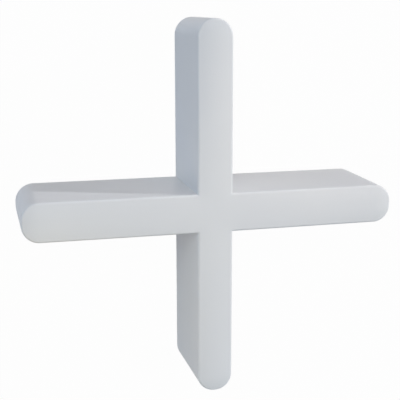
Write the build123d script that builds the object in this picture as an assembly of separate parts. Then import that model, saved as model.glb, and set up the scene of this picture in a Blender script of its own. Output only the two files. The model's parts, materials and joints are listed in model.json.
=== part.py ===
from build123d import *
import os

# Tile spacer: one moulded cross that keeps the joint open between four tile corners.
# Millimetres. The wide bar runs along X and the narrow bar along Y. The spacer lies on its
# back face at z = 0, and +Z points from there to the front face. The origin is the centre
# of the back face.

# Width of each bar at the front face, which is the joint that it sets.
WIDE_BAR_WIDTH = 3.3
NARROW_BAR_WIDTH = 3.0

# Length of each bar at the front face, from tip to tip.
WIDE_BAR_LENGTH = 31.8
NARROW_BAR_LENGTH = 31.8

# Distance from the back face to the front face.
DEPTH = 8.0

# Draft of every wall, in degrees. The mould parts at the back face, which is the larger one.
DRAFT_ANGLE = 1.0

# Plan radius of the corners of each tip, at the front face.
TIP_CORNER_RADIUS = 1.45

# Flat that is left at the very end of a tip, however narrow its bar is.
LEAST_TIP_FLAT = 0.05

# Rounds along the whole outline of the front face and of the back face.
FRONT_EDGE_ROUND = 0.3
BACK_EDGE_ROUND = 0.1

# Largest edge round, as a share of half the bar that carries it.
LARGEST_ROUND_SHARE = 0.9


def bar_outline(length, width):
    """Plan of one bar at the front face. Its four corners are arcs."""
    corner_radius = min(TIP_CORNER_RADIUS, (width - LEAST_TIP_FLAT) / 2)
    return RectangleRounded(length, width, corner_radius)


def cross_outline():
    """Plan of the whole cross at the front face. Its four inner corners are sharp."""
    wide_bar = bar_outline(WIDE_BAR_LENGTH, WIDE_BAR_WIDTH)
    narrow_bar = bar_outline(NARROW_BAR_LENGTH, NARROW_BAR_WIDTH)
    return wide_bar + Rot(Z=90) * narrow_bar


def drafted_cross():
    """The cross with sharp face edges. Its walls lean out from the front to the back."""
    straight_cross = extrude(cross_outline(), amount=DEPTH)
    back, *walls, front = straight_cross.faces().sort_by(Axis.Z)
    return draft(walls, Plane.XY.offset(DEPTH), DRAFT_ANGLE)


def edge_round(radius):
    """The radius asked for, or less where the narrower of the two bars limits it."""
    half_bar = min(WIDE_BAR_WIDTH, NARROW_BAR_WIDTH) / 2
    return min(radius, LARGEST_ROUND_SHARE * half_bar)


def tile_spacer():
    """The finished cross. Each edge round follows the tips and mitres at the inner corners."""
    cross = drafted_cross()
    front_edges = cross.faces().sort_by(Axis.Z)[-1].edges()
    cross = fillet(front_edges, edge_round(FRONT_EDGE_ROUND))
    back_edges = cross.faces().sort_by(Axis.Z)[0].edges()
    return fillet(back_edges, edge_round(BACK_EDGE_ROUND))


os.makedirs("parts", exist_ok=True)
export_step(tile_spacer(), "parts/tile_spacer.step")
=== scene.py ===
"""Looks of a tile spacer, a small moulded plastic cross that lies on its back face.

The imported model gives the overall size, and its mounts give the width and the lean of the
walls. Sizes in the classes are millimetres, and they turn to metres where a mesh, a material,
a lamp or the camera is made.
"""

import json
import logging
import math
from dataclasses import dataclass
from enum import Enum

import bmesh
import bpy
import numpy as np
from mathutils import Matrix, Vector

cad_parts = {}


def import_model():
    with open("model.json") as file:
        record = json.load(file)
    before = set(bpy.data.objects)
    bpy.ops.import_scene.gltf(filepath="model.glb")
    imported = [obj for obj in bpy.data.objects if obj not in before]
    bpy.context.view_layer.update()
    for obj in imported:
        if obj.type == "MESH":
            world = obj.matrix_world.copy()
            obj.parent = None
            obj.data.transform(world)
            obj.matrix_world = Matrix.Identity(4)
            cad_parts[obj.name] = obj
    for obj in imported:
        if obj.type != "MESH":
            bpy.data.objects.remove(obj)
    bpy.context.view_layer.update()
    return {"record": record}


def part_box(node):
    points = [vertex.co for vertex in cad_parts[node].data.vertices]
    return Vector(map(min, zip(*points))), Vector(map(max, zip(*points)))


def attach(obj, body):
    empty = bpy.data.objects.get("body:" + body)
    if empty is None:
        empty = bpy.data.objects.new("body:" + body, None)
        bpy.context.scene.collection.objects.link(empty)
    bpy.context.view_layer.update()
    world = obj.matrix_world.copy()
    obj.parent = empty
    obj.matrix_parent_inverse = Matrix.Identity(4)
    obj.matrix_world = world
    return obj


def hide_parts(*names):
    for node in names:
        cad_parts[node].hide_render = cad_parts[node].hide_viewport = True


LOG = logging.getLogger("tile_spacer")

METRES_PER_MM = 0.001
MILLIWATTS_PER_WATT = 1000
QUARTER_TURN = math.pi / 2
# A glow of this strength is shown as plain white.
WHITE_STRENGTH = 1.0


class Arm(Enum):
    """The four arms of the cross, as quarter turns from +X."""

    RIGHT = 0
    UPPER = 1
    LEFT = 2
    LOWER = 3

    @property
    def on_wide_bar(self) -> bool:
        """True for the two arms of the wide bar, which runs along X."""
        return self in (Arm.RIGHT, Arm.LEFT)


class Face(Enum):
    """The two flat faces of the cross, as the place of their rim in the wall's section."""

    BACK = 0
    FRONT = -1


def linear_colour(hex_code: str) -> tuple[float, float, float, float]:
    """Turn an sRGB colour into the linear one that Blender renders with.

    The curve is that of the sRGB standard: a straight foot, and above it a power of 2.4.

    Args:
        hex_code: A number sign and six hex digits.

    Returns:
        Linear red, green and blue, with an alpha of one.
    """
    channels = [int(hex_code[start : start + 2], 16) / 255 for start in (1, 3, 5)]
    red, green, blue = (
        value / 12.92 if value <= 0.04045 else ((value + 0.055) / 1.055) ** 2.4
        for value in channels
    )
    return red, green, blue, 1.0


def add_node(
    tree: bpy.types.NodeTree,
    kind: str,
    inputs: dict[str | int, object] | None = None,
    **settings: object,
) -> bpy.types.Node:
    """Add one node to a tree, with its settings and its links.

    Args:
        tree: The node tree of a material or of the world.
        kind: Blender's type name of the node.
        inputs: Socket name or number to a plain value, or to the output that feeds it.
        settings: Properties of the node itself.

    Returns:
        The new node.
    """
    node = tree.nodes.new(kind)
    for name, value in settings.items():
        setattr(node, name, value)
    for socket, value in (inputs or {}).items():
        if isinstance(value, bpy.types.NodeSocket):
            tree.links.new(value, node.inputs[socket])
        else:
            node.inputs[socket].default_value = value
    return node


def empty_tree(owner: bpy.types.Material | bpy.types.World) -> bpy.types.NodeTree:
    """Switch a material or the world to nodes, and clear its tree."""
    owner.use_nodes = True
    owner.node_tree.nodes.clear()
    return owner.node_tree


def show_object(name: str, data: bpy.types.ID) -> bpy.types.Object:
    """Put a mesh, a lamp or a camera into the scene as a new object."""
    item = bpy.data.objects.new(name, data)
    bpy.context.scene.collection.objects.link(item)
    return item


@dataclass(frozen=True)
class MouldedPolypropylene:
    """White polypropylene, injection moulded against a fine spark-eroded steel wall.

    The white pigment turns light back within a few tenths of a millimetre, so a shadow keeps
    a crisp edge and the plastic looks solid, not milky. The eroded steel leaves a fine even
    grain, which spreads the gloss to a soft satin sheen.
    """

    name: str = "white_polypropylene_satin_moulded"
    body_colour: str = "#DFE2E4"
    cloud_colour: str = "#DBDEE2"
    refractive_index: float = 1.49
    lowest_roughness: float = 0.42
    highest_roughness: float = 0.52
    scatter_share: float = 0.15
    scatter_mm: tuple[float, float, float] = (0.2, 0.2, 0.2)
    cloud_size_mm: float = 6.0
    ripple_size_mm: float = 2.4
    ripple_height_mm: float = 0.006
    grain_size_mm: float = 0.16
    grain_height_mm: float = 0.004
    noise_octaves: float = 2.0

    def material(self) -> bpy.types.Material:
        """Build the node tree of the plastic.

        Returns:
            The finished material.
        """
        material = bpy.data.materials.new(self.name)
        tree = empty_tree(material)
        place = add_node(tree, "ShaderNodeTexCoord").outputs["Object"]
        # The melt sets in slow swirls from the gate, so its pigment is faintly cloudy.
        clouds = self.noise(tree, place, self.cloud_size_mm)
        colour = add_node(
            tree,
            "ShaderNodeMixRGB",
            {
                "Fac": clouds,
                "Color1": linear_colour(self.body_colour),
                "Color2": linear_colour(self.cloud_colour),
            },
        ).outputs["Color"]
        # The skin shrinks by some micrometres as it cools, which bends reflections a little.
        ripple = self.noise(tree, place, self.ripple_size_mm)
        rippled = add_node(
            tree,
            "ShaderNodeBump",
            {"Height": ripple, "Distance": self.ripple_height_mm * METRES_PER_MM},
        ).outputs["Normal"]
        # Sparks leave craters of about 0.05 mm in the steel. They are drawn coarser here, so
        # that the grain still shows in a picture of the whole spacer.
        grain = self.noise(tree, place, self.grain_size_mm)
        grained = add_node(
            tree,
            "ShaderNodeBump",
            {
                "Height": grain,
                "Distance": self.grain_height_mm * METRES_PER_MM,
                "Normal": rippled,
            },
        ).outputs["Normal"]
        roughness = add_node(
            tree,
            "ShaderNodeMapRange",
            {
                "Value": grain,
                "To Min": self.lowest_roughness,
                "To Max": self.highest_roughness,
            },
        ).outputs["Result"]
        shader = add_node(
            tree,
            "ShaderNodeBsdfPrincipled",
            {
                "Base Color": colour,
                "Roughness": roughness,
                "Normal": grained,
                "IOR": self.refractive_index,
                "Subsurface Weight": self.scatter_share,
                "Subsurface Radius": self.scatter_mm,
                "Subsurface Scale": METRES_PER_MM,
            },
        )
        add_node(tree, "ShaderNodeOutputMaterial", {"Surface": shader.outputs["BSDF"]})
        return material

    def noise(
        self, tree: bpy.types.NodeTree, place: bpy.types.NodeSocket, feature_mm: float
    ) -> bpy.types.NodeSocket:
        """Soft noise whose features have a given real size.

        Args:
            tree: The material's tree.
            place: Object coordinates, in metres.
            feature_mm: Size of one light or dark spot.

        Returns:
            The noise, from zero to one.
        """
        repeats_per_metre = 1.0 / (feature_mm * METRES_PER_MM)
        noise = add_node(
            tree,
            "ShaderNodeTexNoise",
            {"Vector": place, "Scale": repeats_per_metre, "Detail": self.noise_octaves},
        )
        return noise.outputs["Fac"]


@dataclass(frozen=True)
class EdgeProfile:
    """Section through one wall, from the back face to the front face.

    A point of the section is (inset, height). The inset is how far the outline has moved
    inwards from its plan at the front face, so it is negative where the leaning wall stands
    further out below.
    """

    depth: float
    draft: float
    front_round: float = 0.2
    back_round: float = 0.1
    round_steps: int = 10
    wall_steps: int = 18

    def wall_inset(self, height: float) -> float:
        """Inset of the leaning wall at a height: it is zero at the front face."""
        return -(self.depth - height) * math.tan(self.draft)

    def arc(self, radius: float, centre_height: float, first: float, last: float) -> np.ndarray:
        """A round that touches the wall and one flat face.

        Its centre lies one radius inside both. The point for an angle is the centre plus the
        radius times (minus cosine, sine) of that angle, so the round meets the wall at the
        draft angle and a face at a quarter turn.

        Args:
            radius: Radius of the round.
            centre_height: Height of its centre.
            first: Angle of its first point, in radians.
            last: Angle of its last point, in radians.

        Returns:
            Rows of (inset, height).
        """
        angle = np.linspace(first, last, self.round_steps + 1)
        centre_inset = self.wall_inset(centre_height) + radius / math.cos(self.draft)
        inset = centre_inset - radius * np.cos(angle)
        height = centre_height + radius * np.sin(angle)
        return np.column_stack([inset, height])

    def points(self) -> np.ndarray:
        """The whole section: the back round, the straight wall and the front round.

        Returns:
            Rows of (inset, height), from the rim of the back face to that of the front face.
        """
        back = self.arc(self.back_round, self.back_round, -QUARTER_TURN, self.draft)
        front_centre = self.depth - self.front_round
        front = self.arc(self.front_round, front_centre, self.draft, QUARTER_TURN)
        share = np.linspace(0.0, 1.0, self.wall_steps + 1)[1:-1, None]
        wall = back[-1] * (1 - share) + front[0] * share
        return np.vstack([back, wall, front])


@dataclass(frozen=True)
class ArmPlan:
    """Plan of one arm, as rows across it from the crossing bar out to the tip."""

    bar_length: float
    bar_width: float
    crossing_width: float
    tip_radius: float
    straight_steps: int = 36
    arc_steps: int = 16

    def rows(self, inset: float) -> np.ndarray:
        """Distance out and half width of each row.

        The half width is constant along the straight part. Round a corner of the tip, the
        row for an angle a lies at the corner's centre plus its radius times sin(a), and its
        half width is that of the tip's flat plus the radius times cos(a).

        Args:
            inset: How far the outline has moved inwards.

        Returns:
            Rows of (distance out, half width).
        """
        reach = self.bar_length / 2 - inset
        half_width = self.bar_width / 2 - inset
        start = self.crossing_width / 2 - inset
        radius = self.tip_radius - inset
        out = np.linspace(start, reach - radius, self.straight_steps + 1)[:-1]
        straight = np.column_stack([out, np.full_like(out, half_width)])
        angle = np.linspace(0.0, QUARTER_TURN, self.arc_steps + 1)
        corner_out = reach - radius + radius * np.sin(angle)
        corner_half = half_width - radius + radius * np.cos(angle)
        return np.vstack([straight, np.column_stack([corner_out, corner_half])])


@dataclass(frozen=True)
class Patch:
    """A grid of points on the skin, with the side that faces outwards.

    Seen from outside, with the rows counting upwards, the columns of the walls and of the back
    face count to the right. Those of the front face count to the left, so its patches are
    flipped.
    """

    points: np.ndarray
    flipped: bool = False

    def quads(self, first: int) -> np.ndarray:
        """Corner numbers of the patch's faces.

        Args:
            first: Number that the patch's first point has in the whole mesh.

        Returns:
            Rows of four point numbers.
        """
        rows, columns = self.points.shape[:2]
        number = first + np.arange(rows * columns).reshape(rows, columns)
        corners = [number[:-1, :-1], number[:-1, 1:], number[1:, 1:], number[1:, :-1]]
        if self.flipped:
            corners.reverse()
        return np.stack(corners, axis=-1).reshape(-1, 4)


@dataclass(frozen=True)
class MouldedCross:
    """The whole spacer: one moulding of two bars that cross at their middles."""

    wide_width: float
    narrow_width: float
    wide_length: float
    narrow_length: float
    profile: EdgeProfile
    finish: MouldedPolypropylene
    tip_radius: float = 1.45
    crown_mm: float = 0.12
    crown_share_at_hub: float = 0.25
    across_steps: int = 16
    merge_distance_mm: float = 0.00005
    crease_degrees: float = 40.0

    @classmethod
    def from_frame(cls, record: dict) -> "MouldedCross":
        """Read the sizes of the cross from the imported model.

        The box of the node gives the depth, and its length is that of the back outline.
        A wall's mount gives the wall's place and lean, and from those its place at the front.

        Args:
            record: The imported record.

        Returns:
            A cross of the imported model's size.
        """
        low, high = (np.array(corner) / METRES_PER_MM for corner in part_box("tile_spacer"))
        mounts = {mount["name"]: mount for mount in record["mounts"]}
        on_narrow = mounts["ne_narrow_arm_wall"]
        on_wide = mounts["ne_wide_arm_wall"]
        profile = EdgeProfile(
            depth=float(high[2] - low[2]),
            draft=math.asin(on_narrow["axis"][2]),
        )
        at_wall = profile.wall_inset(on_narrow["pos_m"][2] / METRES_PER_MM)
        widest_inset = float(profile.points()[:, 0].min())
        return cls(
            wide_width=2 * (on_wide["pos_m"][1] / METRES_PER_MM + at_wall),
            narrow_width=2 * (on_narrow["pos_m"][0] / METRES_PER_MM + at_wall),
            wide_length=float(high[0] - low[0]) + 2 * widest_inset,
            narrow_length=float(high[1] - low[1]) + 2 * widest_inset,
            profile=profile,
            finish=MouldedPolypropylene(),
        )

    def plan(self, arm: Arm) -> ArmPlan:
        """Plan of one arm, from the width of its own bar and of the one that crosses it."""
        wide = (self.wide_length, self.wide_width, self.narrow_width)
        narrow = (self.narrow_length, self.narrow_width, self.wide_width)
        return ArmPlan(*(wide if arm.on_wide_bar else narrow), self.tip_radius)

    def across_shares(self) -> np.ndarray:
        """Places across an arm as shares of its half width, from minus one to one."""
        return np.linspace(-1.0, 1.0, self.across_steps + 1)

    @staticmethod
    def turned(out: np.ndarray, across: np.ndarray, arm: Arm) -> list[np.ndarray]:
        """Turn places laid out along +X to an arm's heading, by exact quarter turns.

        Args:
            out: Distances along the arm.
            across: Distances to the left of its middle line.
            arm: Which arm.

        Returns:
            The x and the y of each place.
        """
        headings = [(out, across), (-across, out), (-out, -across), (across, -out)]
        return list(headings[arm.value])

    def arm_outline(self, arm: Arm, inset: float) -> np.ndarray:
        """Outline of one arm: out along its right side, over the tip and back.

        The last point is left out, because it is the first one of the next arm.

        Args:
            arm: Which arm.
            inset: How far the outline has moved inwards.

        Returns:
            Rows of (x, y), anticlockwise.
        """
        out, half = self.plan(arm).rows(inset).T
        shares = self.across_shares()[1:-1]
        path_out = np.concatenate([out, np.full_like(shares, out[-1]), out[::-1]])
        path_across = np.concatenate([-half, shares * half[-1], half[::-1]])
        return np.column_stack(self.turned(path_out, path_across, arm))[:-1]

    def wall_patch(self) -> Patch:
        """All walls and edge rounds: the outline, inset and raised as the profile says."""
        rings = []
        for inset, height in self.profile.points():
            ring = np.vstack([self.arm_outline(arm, inset) for arm in Arm])
            closed = np.vstack([ring, ring[:1]])
            rings.append(np.column_stack([closed, np.full(len(closed), height)]))
        return Patch(np.stack(rings))

    def face_patches(self, face: Face) -> list[Patch]:
        """One flat face: a grid for each arm and one for the rectangle between them.

        A point of an arm's grid lies at a row's distance out, and across it at the row's half
        width times a share from minus one to one.

        Args:
            face: Which face.

        Returns:
            Five patches that share their edges.
        """
        inset, height = self.profile.points()[face.value]
        flipped = face is Face.FRONT
        shares = self.across_shares()
        grids = []
        for arm in Arm:
            out, half = self.plan(arm).rows(inset).T
            across = half[:, None] * shares
            grids.append(self.turned(np.broadcast_to(out[:, None], across.shape), across, arm))
        half_x = self.narrow_width / 2 - inset
        half_y = self.wide_width / 2 - inset
        grids.append(list(np.meshgrid(shares * half_x, shares * half_y, indexing="ij")))
        levels = [np.full_like(x, height) for x, _ in grids]
        return [
            Patch(np.stack([x, y, level], axis=-1), flipped)
            for (x, y), level in zip(grids, levels)
        ]

    @staticmethod
    def depth_inside(
        x: np.ndarray, y: np.ndarray, half: tuple[float, float], radius: float
    ) -> np.ndarray:
        """How far points lie inside the outline of a bar with rounded corners.

        With q as the place's distance from the middle, less the half size, plus the corner
        radius, it is the radius, less the length of the positive part of q, less the larger
        part of q where both are negative.

        Args:
            x: Places along the bar.
            y: Places across it.
            half: Half its length and half its width.
            radius: Radius of its corners.

        Returns:
            The distances, which are negative outside.
        """
        qx = np.abs(x) - half[0] + radius
        qy = np.abs(y) - half[1] + radius
        outside = np.hypot(np.maximum(qx, 0.0), np.maximum(qy, 0.0))
        return radius - outside - np.minimum(np.maximum(qx, qy), 0.0)

    def crown_drop(self, x: np.ndarray, y: np.ndarray) -> np.ndarray:
        """How far the crowned front face lies below its highest level.

        The drop is the crown times u squared, where u runs from zero at the middle line of
        an arm to one at its rim. The crown itself grows from the hub to the tips.

        Args:
            x: Places along the wide bar.
            y: Places along the narrow bar.

        Returns:
            The drops.
        """
        half_x, half_y = self.narrow_width / 2, self.wide_width / 2
        in_wide = self.depth_inside(x, y, (self.wide_length / 2, half_y), self.tip_radius)
        in_narrow = self.depth_inside(y, x, (self.narrow_length / 2, half_x), self.tip_radius)
        to_corner = np.hypot(half_x - np.abs(x), half_y - np.abs(y))
        in_hub = (np.abs(x) < half_x) & (np.abs(y) < half_y)
        inside = np.where(in_hub, to_corner, np.maximum(in_wide, in_narrow))
        rim = self.profile.front_round
        u = np.clip(1 - (inside - rim) / (half_x - rim), 0.0, 1.0)
        along = np.clip(np.maximum(np.abs(x), np.abs(y)) / (self.wide_length / 2), 0.0, 1.0)
        growth = self.crown_share_at_hub + (1 - self.crown_share_at_hub) * along
        return self.crown_mm * growth * u**2

    def mesh(self) -> bpy.types.Mesh:
        """One closed skin, merged from the patches, with creases at the inner corners.

        Returns:
            The mesh, in metres.
        """
        faces = [patch for face in Face for patch in self.face_patches(face)]
        patches = [self.wall_patch(), *faces]
        sizes = [patch.points.shape[0] * patch.points.shape[1] for patch in patches]
        firsts = np.concatenate([[0], np.cumsum(sizes)[:-1]])
        points = np.vstack([patch.points.reshape(-1, 3) for patch in patches])
        # A wall point slides down the wall with the rim, in proportion to its height.
        drop = self.crown_drop(points[:, 0], points[:, 1])
        points[:, 2] *= 1 - drop / self.profile.depth
        quads = np.vstack([patch.quads(int(first)) for patch, first in zip(patches, firsts)])
        mesh = bpy.data.meshes.new("moulded_cross")
        mesh.from_pydata(points * METRES_PER_MM, [], quads)
        joined = bmesh.new()
        joined.from_mesh(mesh)
        bmesh.ops.remove_doubles(
            joined, verts=joined.verts, dist=self.merge_distance_mm * METRES_PER_MM
        )
        joined.to_mesh(mesh)
        joined.free()
        mesh.shade_smooth()
        mesh.set_sharp_from_angle(angle=math.radians(self.crease_degrees))
        return mesh

    def build(self) -> bpy.types.Object:
        """Make the cross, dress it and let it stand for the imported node.

        Returns:
            The finished piece.
        """
        cross = show_object("moulded_cross", self.mesh())
        cross.data.materials.append(self.finish.material())
        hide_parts("tile_spacer")
        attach(cross, "root")
        return cross


@dataclass(frozen=True)
class SkyGlow:
    """A soft glow in the studio's tent, brightest at its middle.

    In a direction it shines with its strength times the cosine of the angle from the middle,
    to the power of the focus. A focus of one fills half the tent, and one of thirty is a panel
    25 degrees across.
    """

    towards: tuple[float, float, float]
    colour: str
    strength: float
    focus: float = 30.0

    def background(
        self, tree: bpy.types.NodeTree, direction: bpy.types.NodeSocket
    ) -> bpy.types.NodeSocket:
        """Build the glow's part of the world.

        Args:
            tree: The world's tree.
            direction: The direction that a ray looks in.

        Returns:
            The shader that gives the glow's light.
        """
        steps = [
            ("ShaderNodeVectorMath", "DOT_PRODUCT", Vector(self.towards).normalized()),
            ("ShaderNodeMath", "MAXIMUM", 0.0),
            ("ShaderNodeMath", "POWER", self.focus),
            ("ShaderNodeMath", "MULTIPLY", self.strength),
        ]
        value = direction
        for kind, operation, second in steps:
            node = add_node(tree, kind, {0: value, 1: second}, operation=operation)
            value = node.outputs["Value"]
        glow = add_node(
            tree,
            "ShaderNodeBackground",
            {"Color": linear_colour(self.colour), "Strength": value},
        )
        return glow.outputs["Background"]


@dataclass(frozen=True)
class StudioTent:
    """White cloth overhead and six soft panels that stand round the spacer.

    Four panels stand round the upper left, and light the walls that the camera sees and the
    corner between them. The last two light the far side.
    """

    glows: tuple[SkyGlow, ...] = (
        # The cloth overhead.
        SkyGlow((0.0, 0.0, 1.0), "#D5E7FF", 0.30, focus=1.0),
        # High over the upper left, the brightest one, which the front face sees too.
        SkyGlow((-0.7, 0.7, 1.2), "#F9FFF8", 4.81),
        # Low at the upper left, into the corner between the arms.
        SkyGlow((-0.7, 0.7, 0.1), "#E0EDFF", 1.93),
        # Straight above in the picture, slightly warm.
        SkyGlow((0.0, 1.0, 0.3), "#FFE4E3", 2.14),
        # To the left, cool as daylight.
        SkyGlow((-1.0, 0.0, 0.25), "#AFCDFF", 2.40),
        # At the lower right and straight below in the picture, for the far side.
        SkyGlow((0.7, -0.7, 0.45), "#C0E6FF", 1.50),
        SkyGlow((0.0, -1.0, 0.1), "#FFFFFF", 1.60),
    )

    def build(self) -> None:
        """Set up the world. The camera itself and mirror rays see plain white."""
        world = bpy.data.worlds.new("studio_tent")
        bpy.context.scene.world = world
        tree = empty_tree(world)
        direction = add_node(tree, "ShaderNodeTexCoord").outputs["Generated"]
        total = self.glows[0].background(tree, direction)
        for glow in self.glows[1:]:
            total = add_node(
                tree, "ShaderNodeAddShader", {0: total, 1: glow.background(tree, direction)}
            ).outputs["Shader"]
        white = add_node(
            tree,
            "ShaderNodeBackground",
            {"Color": linear_colour("#FFFFFF"), "Strength": WHITE_STRENGTH},
        ).outputs["Background"]
        mixed = add_node(tree, "ShaderNodeMixShader", {0: white_rays(tree), 1: total, 2: white})
        add_node(tree, "ShaderNodeOutputWorld", {"Surface": mixed.outputs["Shader"]})


def white_rays(tree: bpy.types.NodeTree) -> bpy.types.NodeSocket:
    """One for camera, glossy and transmission rays, and zero for the rest.

    Args:
        tree: The tree of the world or of the floor.

    Returns:
        The output that carries the number.
    """
    path = add_node(tree, "ShaderNodeLightPath").outputs
    seen = path["Is Camera Ray"]
    for name in ("Is Glossy Ray", "Is Transmission Ray"):
        seen = add_node(
            tree, "ShaderNodeMath", {0: seen, 1: path[name]}, operation="MAXIMUM"
        ).outputs["Value"]
    return seen


@dataclass(frozen=True)
class KeyLamp:
    """A small bright lamp, far off to the right and a little above the spacer's plane."""

    towards: tuple[float, float, float] = (0.90, 0.27, 0.306)
    colour: str = "#FFFEFF"
    strength: float = 1.94
    spread_degrees: float = 1.5

    def build(self) -> bpy.types.Object:
        """Place the lamp, shining from its direction onto the origin.

        Returns:
            The lamp.
        """
        lamp = bpy.data.lights.new("key_lamp", "SUN")
        lamp.energy = self.strength
        lamp.color = linear_colour(self.colour)[:3]
        lamp.angle = math.radians(self.spread_degrees)
        item = show_object("key_lamp", lamp)
        item.rotation_mode = "QUATERNION"
        item.rotation_quaternion = Vector(self.towards).to_track_quat("Z", "Y")
        return item


@dataclass(frozen=True)
class SoftLamp:
    """A round frosted lamp head that stands close by, so that it lights the near arm more."""

    name: str
    place_mm: tuple[float, float, float]
    colour: str
    milliwatts: float
    width_mm: float = 20.0
    aim_mm: tuple[float, float, float] = (0.0, 0.0, 8.0)

    def build(self) -> bpy.types.Object:
        """Place the lamp head, out of the camera's sight.

        Returns:
            The lamp.
        """
        lamp = bpy.data.lights.new(self.name, "AREA")
        lamp.shape = "DISK"
        lamp.size = self.width_mm * METRES_PER_MM
        lamp.energy = self.milliwatts / MILLIWATTS_PER_WATT
        lamp.color = linear_colour(self.colour)[:3]
        item = show_object(self.name, lamp)
        place, aim = Vector(self.place_mm), Vector(self.aim_mm)
        item.location = place * METRES_PER_MM
        item.rotation_mode = "QUATERNION"
        item.rotation_quaternion = (place - aim).to_track_quat("Z", "Y")
        item.visible_camera = False
        return item


@dataclass(frozen=True)
class StudioFloor:
    """A plain table top that looks pale and keeps a faint shadow of the spacer."""

    half_side_mm: float = 600.0
    gap_mm: float = 0.002
    colour: str = "#A0A0A0"
    white_share: float = 0.98

    def build(self) -> bpy.types.Object:
        """Make the floor just under the back face.

        Returns:
            The floor.
        """
        side = self.half_side_mm * METRES_PER_MM
        level = -self.gap_mm * METRES_PER_MM
        signs = ((-1, -1), (1, -1), (1, 1), (-1, 1))
        corners = [(x * side, y * side, level) for x, y in signs]
        mesh = bpy.data.meshes.new("studio_floor")
        mesh.from_pydata(corners, [], [(0, 1, 2, 3)])
        floor = show_object("studio_floor", mesh)
        mesh.materials.append(self.material())
        return floor

    def material(self) -> bpy.types.Material:
        """Matt grey card that the camera and mirror rays see as nearly white.

        The grey throws only a little light up at the walls. A small share of it stays in what
        the camera sees, and keeps the shadow of the spacer.

        Returns:
            The finished material.
        """
        material = bpy.data.materials.new("matt_grey_card")
        tree = empty_tree(material)
        card = add_node(tree, "ShaderNodeBsdfDiffuse", {"Color": linear_colour(self.colour)})
        white = add_node(tree, "ShaderNodeEmission", {"Strength": WHITE_STRENGTH})
        share = add_node(
            tree, "ShaderNodeMath", {0: white_rays(tree), 1: self.white_share}, operation="MULTIPLY"
        )
        mixed = add_node(
            tree,
            "ShaderNodeMixShader",
            {0: share.outputs["Value"], 1: card.outputs["BSDF"], 2: white.outputs["Emission"]},
        )
        add_node(tree, "ShaderNodeOutputMaterial", {"Surface": mixed.outputs["Shader"]})
        return material


@dataclass(frozen=True)
class PhotoCamera:
    """The camera, as far round and above the spacer as the one in the photograph.

    It looks straight down the depth of the spacer when all three angles are zero, with +Y
    up in the picture.
    """

    yaw_degrees: float = 14.13
    pitch_degrees: float = 12.17
    roll_degrees: float = 0.11
    distance_mm: float = 76.78
    aim_right_mm: float = 0.645
    aim_up_mm: float = -0.513
    focal_px: float = 830.96
    picture_px: float = 400.0
    sensor_mm: float = 36.0
    nearest_share: float = 0.1
    farthest_share: float = 100.0

    def build(self) -> bpy.types.Object:
        """Place the camera and make it the scene's own.

        The turn is the inverse of roll about Z after pitch about X after yaw about Y. The
        camera stands back along its own Z from the point that it is aimed at. The nearest and
        the farthest place that it sees are shares of its distance.

        Returns:
            The camera.
        """
        data = bpy.data.cameras.new("photo_camera")
        data.sensor_width = self.sensor_mm
        data.lens = self.focal_px / self.picture_px * self.sensor_mm
        data.clip_start = self.nearest_share * self.distance_mm * METRES_PER_MM
        data.clip_end = self.farthest_share * self.distance_mm * METRES_PER_MM
        turn = (
            Matrix.Rotation(math.radians(-self.yaw_degrees), 4, "Y")
            @ Matrix.Rotation(math.radians(-self.pitch_degrees), 4, "X")
            @ Matrix.Rotation(math.radians(-self.roll_degrees), 4, "Z")
        )
        place = Vector((self.aim_right_mm, self.aim_up_mm, self.distance_mm)) * METRES_PER_MM
        camera = show_object("photo_camera", data)
        camera.matrix_world = turn @ Matrix.Translation(place)
        bpy.context.scene.camera = camera
        return camera


def main() -> None:
    """Build the camera, the spacer, its stage and its light, and report each."""
    logging.basicConfig(level=logging.INFO, format="%(name)s: %(message)s")
    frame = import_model()
    bpy.context.scene.view_settings.view_transform = "Standard"
    camera = PhotoCamera().build()
    LOG.info("%s has a lens of %.1f mm", camera.name, camera.data.lens)
    cross = MouldedCross.from_frame(frame["record"]).build()
    LOG.info("%s has %d faces", cross.name, len(cross.data.polygons))
    floor = StudioFloor().build()
    LOG.info("%s lies at %.3f mm", floor.name, floor.data.vertices[0].co.z / METRES_PER_MM)
    StudioTent().build()
    lamps = [
        KeyLamp(),
        SoftLamp("right_lamp", (14.0, 6.0, 36.0), "#FFE4C8", 1.95),
        SoftLamp("left_lamp", (-16.0, -12.0, 16.0), "#FFDA8C", 0.58),
    ]
    for lamp in lamps:
        placed = lamp.build()
        LOG.info("%s has a strength of %.5f", placed.name, placed.data.energy)


if __name__ == "__main__":
    main()
